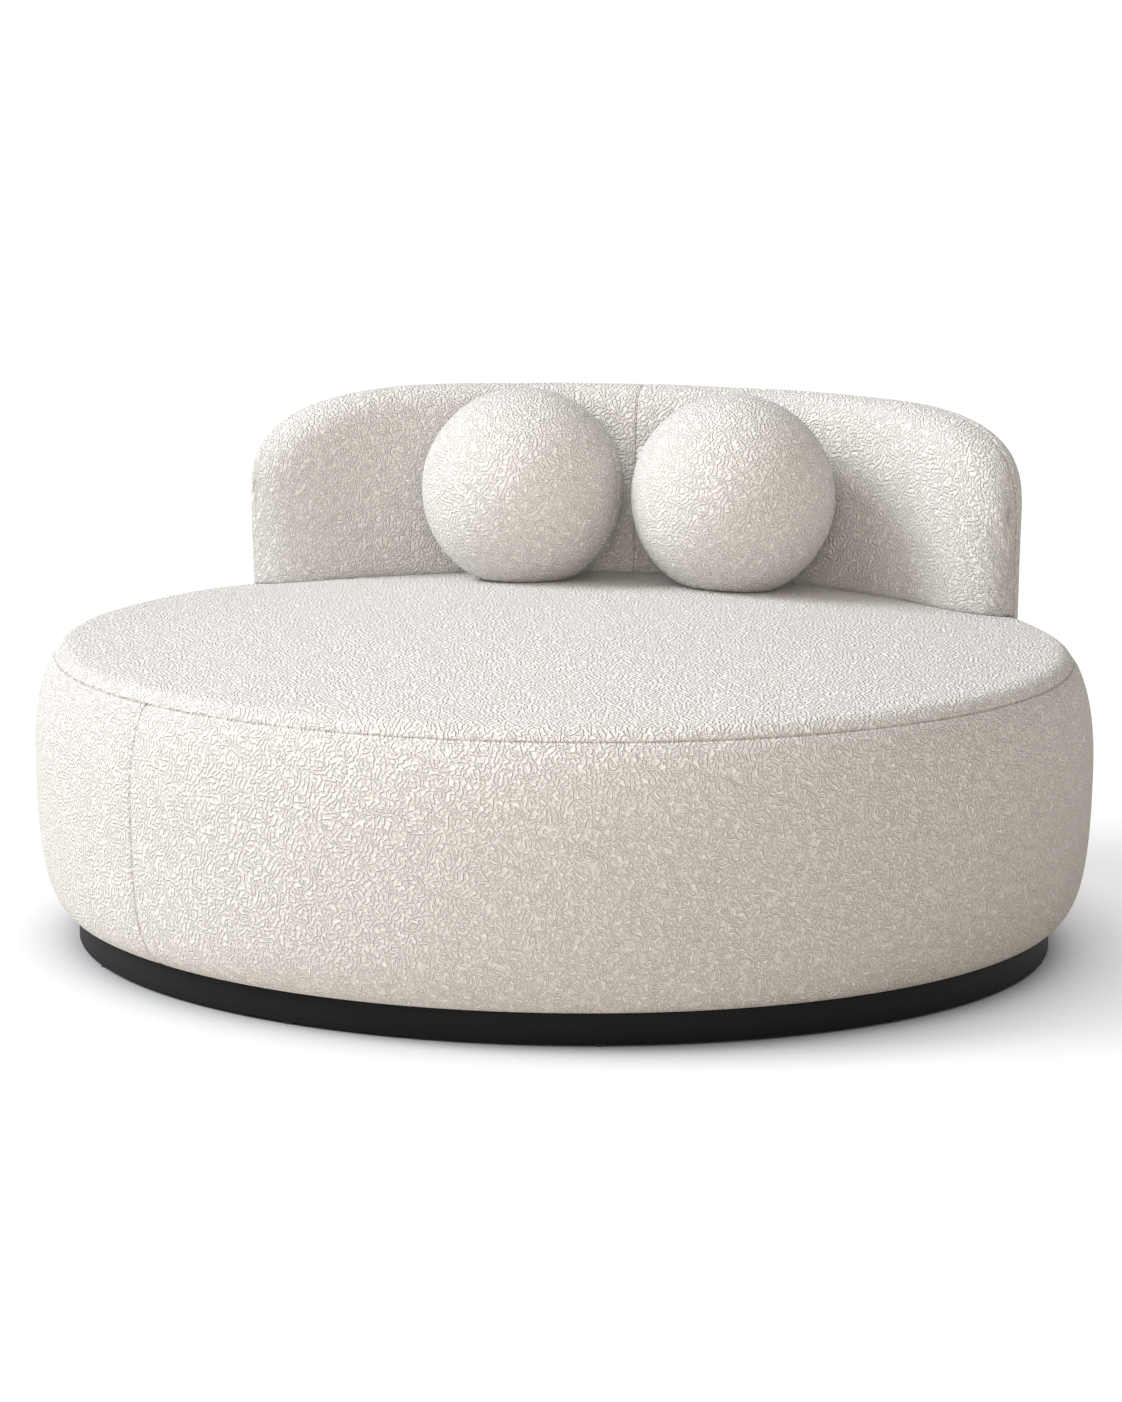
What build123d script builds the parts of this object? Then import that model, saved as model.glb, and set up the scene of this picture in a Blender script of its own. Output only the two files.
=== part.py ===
"""Oval upholstered daybed: a drum seat on a recessed plinth, a wrapped back and two ball pillows.

Millimetres, +Z up, the sitter faces -Y. The origin is on the floor, under the middle of the seat.
Depth always means distance inwards from the seat's widest outline, which is an oval.
"""

from build123d import *
import math
import os

# Seat outline
seat_half_width = 750.0
seat_half_depth = 675.0
belly_height = 270.0
shoulder_height = 425.6
shoulder_depth = 54.0
seat_crown = 35.6
bottom_depth = 66.0
shoulder_share = 0.575
bottom_share = 0.745

# Plinth and floor glides
glide_height = 3.5
glide_radius = 10.0
plinth_height = 42.0
plinth_depth = 57.0
plinth_wall = 22.0
brace_thickness = 18.0
brace_height = 36.0
cross_brace_place = 300.0
glue_block_width = 70.0
glue_block_depth = 42.0
dust_cloth_thickness = 1.0

# Seat frame, plywood
board_thickness = 18.0
vent_radius = 30.0
vent_ring_depth = 330.0
side_skin_thickness = 3.0
deck_height = 324.0
rim_thickness = 18.0
rim_width = 100.0
rib_thickness = 18.0
rib_foot = 110.0
rib_head = 70.0
rib_setback = 1.0
tenon_length = 40.0
tenon_shoulder = 12.0

# Webbing
strap_width = 80.0
strap_thickness = 2.0
lengthwise_count = 6
crosswise_count = 7
outer_lengthwise_depth = 275.0
outer_crosswise_depth = 285.0
strap_ramp_clearance = 6.0
strap_end_clearance = 4.0

# Seat upholstery
cover_thickness = 3.0
topper_edge = 23.6
ring_seam_drop = 18.6
seam_width = 4.0
seam_pinch = 1.8

# Back
back_top_height = 718.0
back_base_depth = 136.7
back_lean_degrees = 5.34
back_skirt_drop = 75.6
back_tip_degrees = 56.2
back_nose_length = 142.0
back_corner_length = 298.0
back_corner_drop = 151.5
back_foot_drop = 125.6
corner_power = 2.3
edge_share = 0.709
edge_roll_share = 0.55
back_seam_depth = 40.0
back_front_foam = 26.0
back_rear_foam = 24.0
foam_joint_setback = 6.0

# Back frame, plywood
post_thickness = 18.0
post_leg_width = 32.0
post_shoulder_rise = 16.4
rail_thickness = 18.0
low_rail_rise = 32.4
high_rail_drop = 128.0
rail_overhang_degrees = 3.5
front_panel_thickness = 4.0
rear_panel_thickness = 3.0
panel_foot_rise = 22.4
panel_head_drop = 78.0
bolt_radius = 4.0
bolt_head_radius = 6.5
bolt_head_height = 5.3
nut_height = 6.5
low_bolt_rise = 56.5
high_bolt_drop = 66.0

# Ball pillows
pillow_radius = 151.0
pillow_sink = 15.0
left_pillow_touch = -206.5
right_pillow_touch = 202.4

# Clearances
fit_gap = 0.2
pillow_gap = 0.5
cut_overrun = 20.0

# Angles are in degrees round the oval, counted from +X towards +Y
back_post_degrees = (46.0, 67.0, 82.5, 97.5, 113.0, 134.0)
front_rib_degrees = (17.0, 163.0, 192.0, 218.0, 244.0, 270.0, 296.0, 322.0, 348.0)
glue_block_degrees = (14.0, 46.0, 90.0, 134.0, 166.0, 194.0, 226.0, 270.0, 314.0, 346.0)
glide_count = 10
vent_count = 2
fastener_sides = 6
glide_sides = 8
oval_sides = 40
flatness_share = 1e-11
crown_pieces = 3
roll_pieces = 4
back_roll_pieces = 3
gore_count = 24
gore_pieces = 12
filling_gore_count = 12
filling_gore_pieces = 6
side_seam_degrees = 53.5

# Levels worked out from the sizes above
plinth_top = glide_height + plinth_height
board_top = plinth_top + board_thickness
seat_top = shoulder_height + seat_crown
rim_low = deck_height - rim_thickness
webbing_top = deck_height + 2 * strap_thickness
frame_depth = bottom_depth
side_flatness = seat_half_width * (1 - math.cos(math.pi / oval_sides))
board_depth = frame_depth + side_flatness + fit_gap
rim_depth = board_depth + side_skin_thickness
strap_end_depth = rim_depth + rim_width / 2
core_top_height = shoulder_height - topper_edge
ring_seam_height = shoulder_height - ring_seam_drop
back_skirt_height = shoulder_height - back_skirt_drop
back_foot_height = shoulder_height - back_foot_drop
foam_joint_depth = rim_depth - foam_joint_setback
post_shoulder_height = shoulder_height + post_shoulder_rise
panel_foot_height = shoulder_height + panel_foot_rise
panel_head_height = back_top_height - panel_head_drop
low_rail_height = shoulder_height + low_rail_rise
high_rail_height = back_top_height - high_rail_drop
low_bolt_height = board_top + low_bolt_rise
high_bolt_height = rim_low - high_bolt_drop
plinth_inner_depth = plinth_depth + plinth_wall
brace_top = plinth_top - dust_cloth_thickness
brace_low = brace_top - brace_height
squeeze = seat_half_depth / seat_half_width
whole_reach = 2 * max(seat_half_width, seat_half_depth)
first_rail_degrees = min(back_post_degrees) - rail_overhang_degrees
last_rail_degrees = max(back_post_degrees) + rail_overhang_degrees


def cos_of(degrees):
    return math.cos(math.radians(degrees))


def sin_of(degrees):
    return math.sin(math.radians(degrees))


def oval_disc(depth, low, high):
    """A flat oval plate whose edge runs at a steady depth inside the seat's outline."""
    oval = Ellipse(seat_half_width - depth, seat_half_depth - depth)
    return Pos(0, 0, low) * extrude(oval, amount=high - low)


def oval_ring(outer_depth, inner_depth, low, high):
    inner = oval_disc(inner_depth, low - cut_overrun, high + cut_overrun)
    return oval_disc(outer_depth, low, high) - inner


def on_oval(degrees, depth, height):
    """A place on the oval at a depth: its x axis points outwards, square to the outline."""
    half_width = seat_half_width - depth
    half_depth = seat_half_depth - depth
    turn = math.atan2(sin_of(degrees) / half_depth, cos_of(degrees) / half_width)
    place = (half_width * cos_of(degrees), half_depth * sin_of(degrees), height)
    return Location(place, (0, 0, math.degrees(turn)))


def upright_plate(outline, thickness):
    """A plate standing across the outline, from (depth, height) corners, half its thickness each way."""
    corners = [(-depth, height) for depth, height in outline]
    sheet = make_face(Plane.XZ * Polyline(*corners, close=True))
    return extrude(sheet, amount=thickness / 2, both=True)


def sector(from_degrees, to_degrees, low, high):
    """A wedge round the middle, wide enough to cut the whole object, for angles under a half turn."""
    middle = (from_degrees + to_degrees) / 2
    corners = [(0, 0)]
    for degrees in (from_degrees, middle, to_degrees):
        corners.append((2 * seat_half_width * cos_of(degrees), 2 * seat_half_depth * sin_of(degrees)))
    wedge = make_face(Polyline(*corners, close=True))
    return Pos(0, 0, low) * extrude(wedge, amount=high - low)


def sided_disc(depth, low, high):
    """A flat plate with the flat-sided oval that fabric and foam are cut to."""
    corners = [(point.X, point.Y) for point in oval_corners(seat_half_width - depth, seat_half_depth - depth, 0)]
    return Pos(0, 0, low) * extrude(make_face(Polyline(*corners, close=True)), amount=high - low)


def oval_corners(half_width, half_depth, height):
    turns = [turn * 360 / oval_sides for turn in range(oval_sides)]
    return [Vector(half_width * cos_of(turn), half_depth * sin_of(turn), height) for turn in turns]


def flat_panels(corners):
    """One face through four corners, or two where they don't lie in one plane."""
    first, second, third, fourth = corners
    square_to = (second - first).cross(third - first).normalized()
    if abs(square_to.dot(fourth - first)) < flatness_share * seat_half_width:
        return [Face(Wire.make_polygon(corners))]
    triangles = ([first, second, third], [first, third, fourth])
    return [Face(Wire.make_polygon(triangle)) for triangle in triangles]


def flat_sided(rings, tip=None):
    """A closed form with flat panels between rings of points, running to a tip or closed by its last ring."""
    panels = [Face(Wire.make_polygon(rings[0]))]
    for ring, following in zip(rings, rings[1:]):
        for here in range(len(ring)):
            panels += flat_panels([ring[here - 1], ring[here], following[here], following[here - 1]])
    if tip is None:
        panels.append(Face(Wire.make_polygon(rings[-1])))
    else:
        last = rings[-1]
        panels += [Face(Wire.make_polygon([last[here - 1], last[here], tip])) for here in range(len(last))]
    return Solid(Shell(panels))


def crown_rise(share):
    """How far the crown still rises at a share of the way from the middle out to the shoulder."""
    return seat_crown * (1 - share**2)


def bend(start, start_pull, end_pull, end, pieces):
    """Points along a curve that leaves and arrives by its pulls, without its end."""
    curve = Edge.make_bezier(start, start_pull, end_pull, end)
    points = [curve @ (piece / pieces) for piece in range(pieces)]
    return [(point.X, point.Z) for point in points]


def drum_profile(skin):
    """Corners (reach, height) up the side and over the crown, but for the middle."""
    radius = seat_half_width - skin
    shoulder = radius - shoulder_depth
    shoulder_level = shoulder_height - skin
    foot = radius - bottom_depth + skin
    foot_level = plinth_top + skin
    slope = math.atan(2 * seat_crown / shoulder)
    rise = shoulder_level - belly_height
    fall = belly_height - foot_level
    pull = shoulder_share * shoulder_depth
    profile = bend(
        (foot, 0, foot_level),
        (foot + bottom_share * (radius - foot), 0, foot_level),
        (radius, 0, belly_height - bottom_share * fall),
        (radius, 0, belly_height),
        roll_pieces,
    )
    profile += bend(
        (radius, 0, belly_height),
        (radius, 0, belly_height + shoulder_share * rise),
        (shoulder + pull * math.cos(slope), 0, shoulder_level - pull * math.sin(slope)),
        (shoulder, 0, shoulder_level),
        roll_pieces,
    )
    for piece in range(crown_pieces):
        share = 1 - piece / crown_pieces
        profile.append((share * shoulder, shoulder_level + crown_rise(share)))
    return profile


def reach_at(profile, height):
    """Where a rising profile passes a height."""
    for (reach, low), (next_reach, high) in zip(profile, profile[1:]):
        if low <= height <= high:
            return reach + (next_reach - reach) * (height - low) / (high - low)


def with_seam(profile, height):
    """A profile drawn in by a sewn seam at a height."""
    drawn_in = [(height - seam_width / 2, 0), (height, seam_pinch), (height + seam_width / 2, 0)]
    notch = [(reach_at(profile, level) - pinch, level) for level, pinch in drawn_in]
    return sorted(profile + notch, key=lambda corner: corner[1])


def drum(skin, seam_height=0):
    """The seat's form, taken in by a skin's thickness: crown, shoulder, belly and tucked-in foot."""
    profile = drum_profile(skin)
    if seam_height:
        profile = with_seam(profile, seam_height)
    rings = [oval_corners(reach, squeeze * reach, height) for reach, height in profile]
    return flat_sided(rings, Vector(0, 0, shoulder_height - skin + seat_crown))


def back_run(degrees, steps=40):
    """Length along the back's middle line, from its tip to an angle measured from the tip."""
    middle_depth = back_base_depth / 2
    half_width = seat_half_width - middle_depth
    half_depth = seat_half_depth - middle_depth
    length = 0
    for step in range(steps):
        angle = 90 - back_tip_degrees + degrees * (step + 0.5) / steps
        speed = math.hypot(half_width * sin_of(angle), half_depth * cos_of(angle))
        length += speed * math.radians(degrees / steps)
    return length


def back_section(degrees, run, skin, foot_level):
    """The back cut across at one place: upright outer side, rolled top, leaning inner side, flat foot."""
    lean = math.tan(math.radians(back_lean_degrees))
    nose = max(0, 1 - (run - skin) / back_nose_length)
    corner = max(0, 1 - (run - skin) / back_corner_length)
    narrowing = math.sqrt(1 - nose**corner_power)
    drop = back_corner_drop * (1 - (1 - corner**corner_power) ** (1 / corner_power))
    top_level = back_top_height - skin - drop
    top_thickness = back_base_depth - lean * (back_top_height - shoulder_height)
    roll = edge_roll_share * top_thickness - skin
    roll_level = top_level - roll
    outer_full = back_base_depth / 2 - skin

    def inner(level):
        full = -outer_full + lean * (level - shoulder_height)
        middle = (outer_full + full) / 2
        return middle + (full - middle) * narrowing

    def outer(level):
        full = -outer_full + lean * (level - shoulder_height)
        middle = (outer_full + full) / 2
        return middle + (outer_full - middle) * narrowing

    roll_outer = outer(roll_level)
    roll_inner = inner(roll_level)
    ridge = (roll_outer + roll_inner) / 2
    rise = edge_share * roll
    corners = [(inner(foot_level), foot_level), (outer(foot_level), foot_level)]
    corners += bend(
        (roll_outer, 0, roll_level),
        (roll_outer, 0, roll_level + rise),
        (ridge + edge_share * (roll_outer - ridge), 0, top_level),
        (ridge, 0, top_level),
        back_roll_pieces,
    )
    corners += bend(
        (ridge, 0, top_level),
        (ridge + edge_share * (roll_inner - ridge), 0, top_level),
        (roll_inner + lean * rise, 0, roll_level + rise),
        (roll_inner, 0, roll_level),
        back_roll_pieces,
    )
    corners.append((roll_inner, roll_level))
    place = on_oval(degrees, back_base_depth / 2, 0)
    return [(place * Pos(across, 0, height)).position for across, height in corners]


# Places of the cross sections, as shares of the way from a tip to the middle of the back
section_shares = (0.005, 0.03, 0.08, 0.15, 0.25, 0.37, 0.5, 0.625, 0.75, 0.875, 1.0)


def back_form(skin, foot_level):
    """The back's form, taken in by a skin's thickness, through cross sections from tip to tip."""
    half_run = back_run(back_tip_degrees)
    places = []
    for share in section_shares:
        run = skin + share * (half_run - skin)
        places.append((run / half_run * back_tip_degrees, run))
    start = 90 - back_tip_degrees
    end = 90 + back_tip_degrees
    right = [back_section(start + turn, run, skin, foot_level) for turn, run in places]
    left = [back_section(end - turn, run, skin, foot_level) for turn, run in places]
    return flat_sided(right + left[-2::-1])


def lean_depth(level):
    """Depth of the back's inner face at a level."""
    lean = math.tan(math.radians(back_lean_degrees))
    return back_base_depth - lean * (level - shoulder_height)


def leaning_disc(inset, low, high):
    """A solid whose edge leans with the back's inner face, an inset further out than the face."""
    sections = []
    for level in (low, high):
        depth = lean_depth(level) - inset
        sections.append(Pos(0, 0, level) * Ellipse(seat_half_width - depth, seat_half_depth - depth).wire())
    return Solid.make_loft(sections, ruled=True)


def slab(low, high):
    """A level slice wide enough to take in the whole object."""
    return Pos(0, 0, (low + high) / 2) * Box(whole_reach, whole_reach, high - low)


def leg_slots(low, high):
    """What the back's post legs need where they pass through the seat."""
    outline = [
        (rim_depth - fit_gap, low),
        (rim_depth + post_leg_width + fit_gap, low),
        (rim_depth + post_leg_width + fit_gap, high),
        (rim_depth - fit_gap, high),
    ]
    plate = upright_plate(outline, post_thickness + 2 * fit_gap)
    return [on_oval(degrees, 0, 0) * plate for degrees in back_post_degrees]


# Plinth, glides and what holds them


def make_plinth_ring():
    return oval_ring(plinth_depth, plinth_inner_depth, glide_height, plinth_top)


def shank(radius, low, high):
    """A small round bar, nearly round, for what no eye meets once the daybed is put together."""
    return Pos(0, 0, low) * extrude(RegularPolygon(radius, fastener_sides), amount=high - low)


def make_floor_glides():
    middle_depth = plinth_depth + plinth_wall / 2
    places = [on_oval(turn * 360 / glide_count, middle_depth, 0) for turn in range(glide_count)]
    pad = extrude(RegularPolygon(glide_radius, glide_sides), amount=glide_height)
    return [place * pad for place in places]


def brace_half_length(offset, along, across):
    """How far a brace runs, to the plinth's inner wall, at an offset from the middle."""
    reach = abs(offset) + brace_thickness / 2
    return along * math.sqrt(1 - (reach / across) ** 2) - fit_gap


def make_plinth_braces():
    """One long brace and two cross braces, joined by half laps."""
    half_width = seat_half_width - plinth_inner_depth
    half_depth = seat_half_depth - plinth_inner_depth
    middle = (brace_low + brace_top) / 2
    long_length = 2 * brace_half_length(0, half_width, half_depth)
    cross_length = 2 * brace_half_length(cross_brace_place, half_depth, half_width)
    long_brace = Pos(0, 0, middle) * Box(long_length, brace_thickness, brace_height)
    notch_width = brace_thickness + 2 * fit_gap
    notch = Box(notch_width, notch_width, brace_height)
    braces = {}
    for name, place in (("left", -cross_brace_place), ("right", cross_brace_place)):
        cross_brace = Pos(place, 0, middle) * Box(brace_thickness, cross_length, brace_height)
        braces["plinth_cross_brace_" + name] = cross_brace - Pos(place, 0, middle - brace_height / 2) * notch
        long_brace -= Pos(place, 0, middle + brace_height / 2) * notch
    braces["plinth_long_brace"] = long_brace
    return braces


def block_places():
    return [on_oval(degrees, plinth_inner_depth + glue_block_depth / 2, 0) for degrees in glue_block_degrees]


def make_glue_blocks():
    inside = oval_disc(plinth_inner_depth + fit_gap, brace_low, brace_top)
    block = Pos(0, 0, (brace_low + brace_top) / 2) * Box(
        glue_block_depth + fit_gap + plinth_wall, glue_block_width, brace_height
    )
    return [place * block & inside for place in block_places()]


def make_dust_cloth():
    return sided_disc(plinth_inner_depth + fit_gap, brace_top, plinth_top)


# Seat frame


def rib_outline(has_head_tenon):
    """A rib's corners as (depth, height): a wide foot, a narrower head, and its tenons."""
    outer = rim_depth + rib_setback
    tenon_start = outer + tenon_shoulder
    outline = [
        (outer, board_top),
        (tenon_start, board_top),
        (tenon_start, plinth_top),
        (tenon_start + tenon_length, plinth_top),
        (tenon_start + tenon_length, board_top),
        (outer + rib_foot, board_top),
        (outer + rib_head, rim_low),
    ]
    if has_head_tenon:
        head_start = outer + tenon_shoulder
        outline += [
            (head_start + tenon_length, rim_low),
            (head_start + tenon_length, deck_height),
            (head_start, deck_height),
            (head_start, rim_low),
        ]
    return outline + [(outer, rim_low)]


def companion_place(degrees):
    """Where the rib stands that a back post is bolted to: against the post, on the side of the middle."""
    side = 1 if degrees < 90 else -1
    return on_oval(degrees, 0, 0) * Pos(0, side * (post_thickness + rib_thickness) / 2, 0)


def bolt_places():
    """Each bolt's place, on the post's outer face, with z along the bolt."""
    places = []
    depth = rim_depth + post_leg_width / 2
    for degrees in back_post_degrees:
        side = 1 if degrees < 90 else -1
        for level in (low_bolt_height, high_bolt_height):
            face = on_oval(degrees, 0, 0) * Pos(-depth, -side * post_thickness / 2, level)
            places.append(face * Rot(-90 * side, 0, 0))
    return places


def make_seat_ribs():
    ribs = {}
    places = [(on_oval(degrees, 0, 0), True) for degrees in front_rib_degrees]
    places += [(companion_place(degrees), False) for degrees in back_post_degrees]
    holes = [place * bolt_hole() for place in bolt_places()]
    for number, (place, has_head_tenon) in enumerate(places, 1):
        rib = place * upright_plate(rib_outline(has_head_tenon), rib_thickness)
        ribs[f"seat_rib_{number:02d}"] = rib if has_head_tenon else rib - holes
    return ribs


def mortises(start, low, high):
    """Holes for one end of the ribs' tenons, from a starting depth."""
    outline = [
        (start - fit_gap, low),
        (start + tenon_length + fit_gap, low),
        (start + tenon_length + fit_gap, high),
        (start - fit_gap, high),
    ]
    return upright_plate(outline, rib_thickness + 2 * fit_gap)


def make_base_board():
    board = oval_disc(board_depth, plinth_top, board_top)
    mortise = mortises(
        rim_depth + rib_setback + tenon_shoulder, plinth_top - cut_overrun, board_top + cut_overrun
    )
    places = [on_oval(degrees, 0, 0) for degrees in front_rib_degrees]
    places += [companion_place(degrees) for degrees in back_post_degrees]
    vent = extrude(Circle(vent_radius), amount=board_top + cut_overrun)
    turns = [(turn + 0.5) * 360 / vent_count for turn in range(vent_count)]
    vents = [on_oval(turn, vent_ring_depth, 0) * vent for turn in turns]
    return board - [place * mortise for place in places] - vents


def make_side_skin():
    skin = sided_disc(frame_depth, board_top, deck_height)
    return skin - sided_disc(frame_depth + side_skin_thickness, board_top - cut_overrun, deck_height + cut_overrun)


def make_deck_rim():
    rim = oval_ring(rim_depth, rim_depth + rim_width, rim_low, deck_height)
    mortise = mortises(
        rim_depth + rib_setback + tenon_shoulder, rim_low - cut_overrun, deck_height + cut_overrun
    )
    rim -= [on_oval(degrees, 0, 0) * mortise for degrees in front_rib_degrees]
    return rim - leg_slots(rim_low - cut_overrun, deck_height + cut_overrun)


# Webbing, laced over and under


def strap_places(count, reach):
    """Where straps lie that are spread evenly between two outer ones."""
    return [(2 * number / (count - 1) - 1) * reach for number in range(count)]


def strap_half_length(place, along, across):
    """Half a strap's length, to the line on the rim where the straps are stapled."""
    reach = abs(place) + strap_width / 2
    return along * math.sqrt(1 - (reach / across) ** 2)


def strap(half_length, crossings, spacing):
    """One strap along X, flat on the rim, that steps over the straps whose (place, passes over) says so."""
    half_step = strap_width / 2 + strap_ramp_clearance
    ramp = spacing / 2 - half_step
    line = [(-half_length, 0)]
    for place, passes_over in crossings:
        if passes_over:
            over = [(place - half_step, strap_thickness), (place + half_step, strap_thickness)]
            foot = place - half_step - ramp
            if foot > -half_length:
                line.append((foot, 0))
            line += over
            foot = place + half_step + ramp
            if foot < half_length:
                line.append((foot, 0))
    line.append((half_length, 0))
    upper = [(x, z + strap_thickness) for x, z in reversed(line)]
    side = make_face(Plane.XZ * Polyline(*line, *upper, close=True))
    return Pos(0, 0, deck_height) * extrude(side, amount=strap_width / 2, both=True)


def make_webbing():
    """Lengthwise and crosswise elastic straps, each lacing over and under the others."""
    half_width = seat_half_width - strap_end_depth
    half_depth = seat_half_depth - strap_end_depth
    rows = strap_places(lengthwise_count, seat_half_depth - outer_lengthwise_depth)
    columns = strap_places(crosswise_count, seat_half_width - outer_crosswise_depth)
    row_lengths = [strap_half_length(place, half_width, half_depth) for place in rows]
    column_lengths = [strap_half_length(place, half_depth, half_width) for place in columns]
    for row, place in enumerate(rows):
        for column, length in zip(columns, column_lengths):
            near_edge = abs(column) - strap_width / 2 - strap_end_clearance
            half_crosses = length < abs(place) + strap_width / 2 and length > abs(place) - strap_width / 2
            if half_crosses and row_lengths[row] > near_edge:
                row_lengths[row] = near_edge

    def crosses(row, column):
        along = abs(columns[column]) + strap_width / 2 < row_lengths[row]
        return along and abs(rows[row]) + strap_width / 2 < column_lengths[column]

    lengthwise = []
    for row, place in enumerate(rows):
        met = [column for column in range(len(columns)) if crosses(row, column)]
        crossings = [(columns[column], (row + column) % 2 == 0) for column in met]
        lengthwise.append(Pos(0, place, 0) * strap(row_lengths[row], crossings, columns[1] - columns[0]))
    crosswise = []
    for column, place in enumerate(columns):
        met = [row for row in range(len(rows)) if crosses(row, column)]
        crossings = [(rows[row], (row + column) % 2 == 1) for row in met]
        laid = strap(column_lengths[column], crossings, rows[1] - rows[0])
        crosswise.append(Pos(place, 0, 0) * Rot(0, 0, 90) * laid)
    return {"webbing_lengthwise": lengthwise, "webbing_crosswise": crosswise}


# Seat foam and cover


def make_seat_foam():
    inside = drum(cover_thickness + fit_gap)
    frame_space = sided_disc(frame_depth - fit_gap, 0, webbing_top)
    slots = leg_slots(webbing_top - cut_overrun, post_shoulder_height + cut_overrun)
    return {
        "seat_side_foam": (inside & slab(0, webbing_top)) - frame_space,
        "seat_foam_core": (inside & slab(webbing_top, core_top_height)) - slots,
        "seat_foam_topper": (inside & slab(core_top_height, seat_top)) - slots,
    }


def half_space(degrees):
    """Everything on the right-hand side of an upright plane through the middle."""
    turn = math.atan2(seat_half_depth * sin_of(degrees), seat_half_width * cos_of(degrees))
    block = Box(2 * whole_reach, 2 * whole_reach, whole_reach)
    return Rot(0, 0, math.degrees(turn)) * Pos(0, -whole_reach, 0) * block


def make_seat_cover():
    """A crowned top panel and two side bands, sewn at pressed seams and stapled to the board's edge."""
    shell = drum(0, ring_seam_height) - drum(cover_thickness)
    shell -= sided_disc(frame_depth, plinth_top - cut_overrun, plinth_top + cover_thickness + cut_overrun)
    turn = math.atan2(seat_half_depth * sin_of(side_seam_degrees), seat_half_width * cos_of(side_seam_degrees))
    upright = Pos(0, 0, ring_seam_height / 2) * Box(whole_reach, seam_width, ring_seam_height)
    band = shell & slab(0, ring_seam_height)
    band -= (drum(0) - drum(seam_pinch)) & Rot(0, 0, math.degrees(turn)) * upright
    front = half_space(side_seam_degrees)
    top = shell & slab(ring_seam_height, seat_top)
    return {
        "seat_cover_top": top - leg_slots(ring_seam_height - cut_overrun, seat_top + cut_overrun),
        "seat_cover_front_band": band & front,
        "seat_cover_rear_band": band - front,
    }


# Back frame


def wide_sector(low, high):
    """The part of the back that the rails and panels span."""
    return sector(first_rail_degrees, last_rail_degrees, low, high)


frame_outer_depth = cover_thickness + fit_gap + back_rear_foam
frame_front_inset = cover_thickness + fit_gap + back_front_foam
post_outer_depth = frame_outer_depth + rear_panel_thickness + fit_gap
post_front_inset = frame_front_inset + front_panel_thickness + fit_gap


def make_back_posts():
    """Posts that stand on the base board inside the seat and widen into the back above it."""
    leg_depth = rim_depth + post_leg_width
    outline = [
        (rim_depth, board_top),
        (leg_depth, board_top),
        (leg_depth, post_shoulder_height),
        (lean_depth(post_shoulder_height) - post_front_inset, post_shoulder_height),
        (lean_depth(panel_head_height) - post_front_inset, panel_head_height),
        (post_outer_depth, panel_head_height),
        (post_outer_depth, post_shoulder_height),
        (rim_depth, post_shoulder_height),
    ]
    plate = upright_plate(outline, post_thickness)
    holes = [place * bolt_hole() for place in bolt_places()]
    posts = {}
    for number, degrees in enumerate(back_post_degrees, 1):
        post = on_oval(degrees, 0, 0) * plate
        posts[f"back_post_{number}"] = post - holes - [front_half_lap(level) for level in rail_levels()]
    return posts


def rail_levels():
    return (low_rail_height, high_rail_height)


def lap_depth(level):
    """Where a rail's half lap ends in the posts."""
    return (post_outer_depth + lean_depth(level + rail_thickness) - post_front_inset) / 2


def front_half_lap(level):
    """What a rail needs from the front halves of the posts."""
    return oval_disc(lap_depth(level) - fit_gap, level - fit_gap, level + rail_thickness + fit_gap)


def make_back_rails():
    rails = {}
    for name, level in zip(("back_low_rail", "back_high_rail"), rail_levels()):
        inner_depth = lean_depth(level + rail_thickness) - post_front_inset
        rail = oval_ring(post_outer_depth, inner_depth, level, level + rail_thickness)
        rail &= wide_sector(level - cut_overrun, level + rail_thickness + cut_overrun)
        outline = [
            (0, level - cut_overrun),
            (lap_depth(level), level - cut_overrun),
            (lap_depth(level), level + rail_thickness + cut_overrun),
            (0, level + rail_thickness + cut_overrun),
        ]
        notch = upright_plate(outline, post_thickness + 2 * fit_gap)
        rails[name] = rail - [on_oval(degrees, 0, 0) * notch for degrees in back_post_degrees]
    return rails


def make_back_panels():
    """A bent plywood panel in front of the posts and a hardboard one behind them."""
    front = leaning_disc(frame_front_inset + front_panel_thickness, panel_foot_height, panel_head_height)
    front -= leaning_disc(frame_front_inset, panel_foot_height - cut_overrun, panel_head_height + cut_overrun)
    rear_inner = frame_outer_depth + rear_panel_thickness
    rear = oval_ring(frame_outer_depth, rear_inner, panel_foot_height, panel_head_height)
    span = wide_sector(panel_foot_height, panel_head_height)
    return {"back_front_panel": front & span, "back_rear_panel": rear & span}


def bolt_hole():
    """The hole through a post and the rib beside it."""
    return shank(bolt_radius + fit_gap, -fit_gap, post_thickness + rib_thickness + fit_gap)


def make_back_bolts():
    """Hexagon bolts through the posts and ribs, each with its nut."""
    length = post_thickness + rib_thickness
    bolt = shank(bolt_head_radius, -bolt_head_height, 0)
    bolt += shank(bolt_radius, 0, length + nut_height)
    bolt += shank(bolt_head_radius, length, length + nut_height)
    return [place * bolt for place in bolt_places()]


# Back foam and cover


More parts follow.
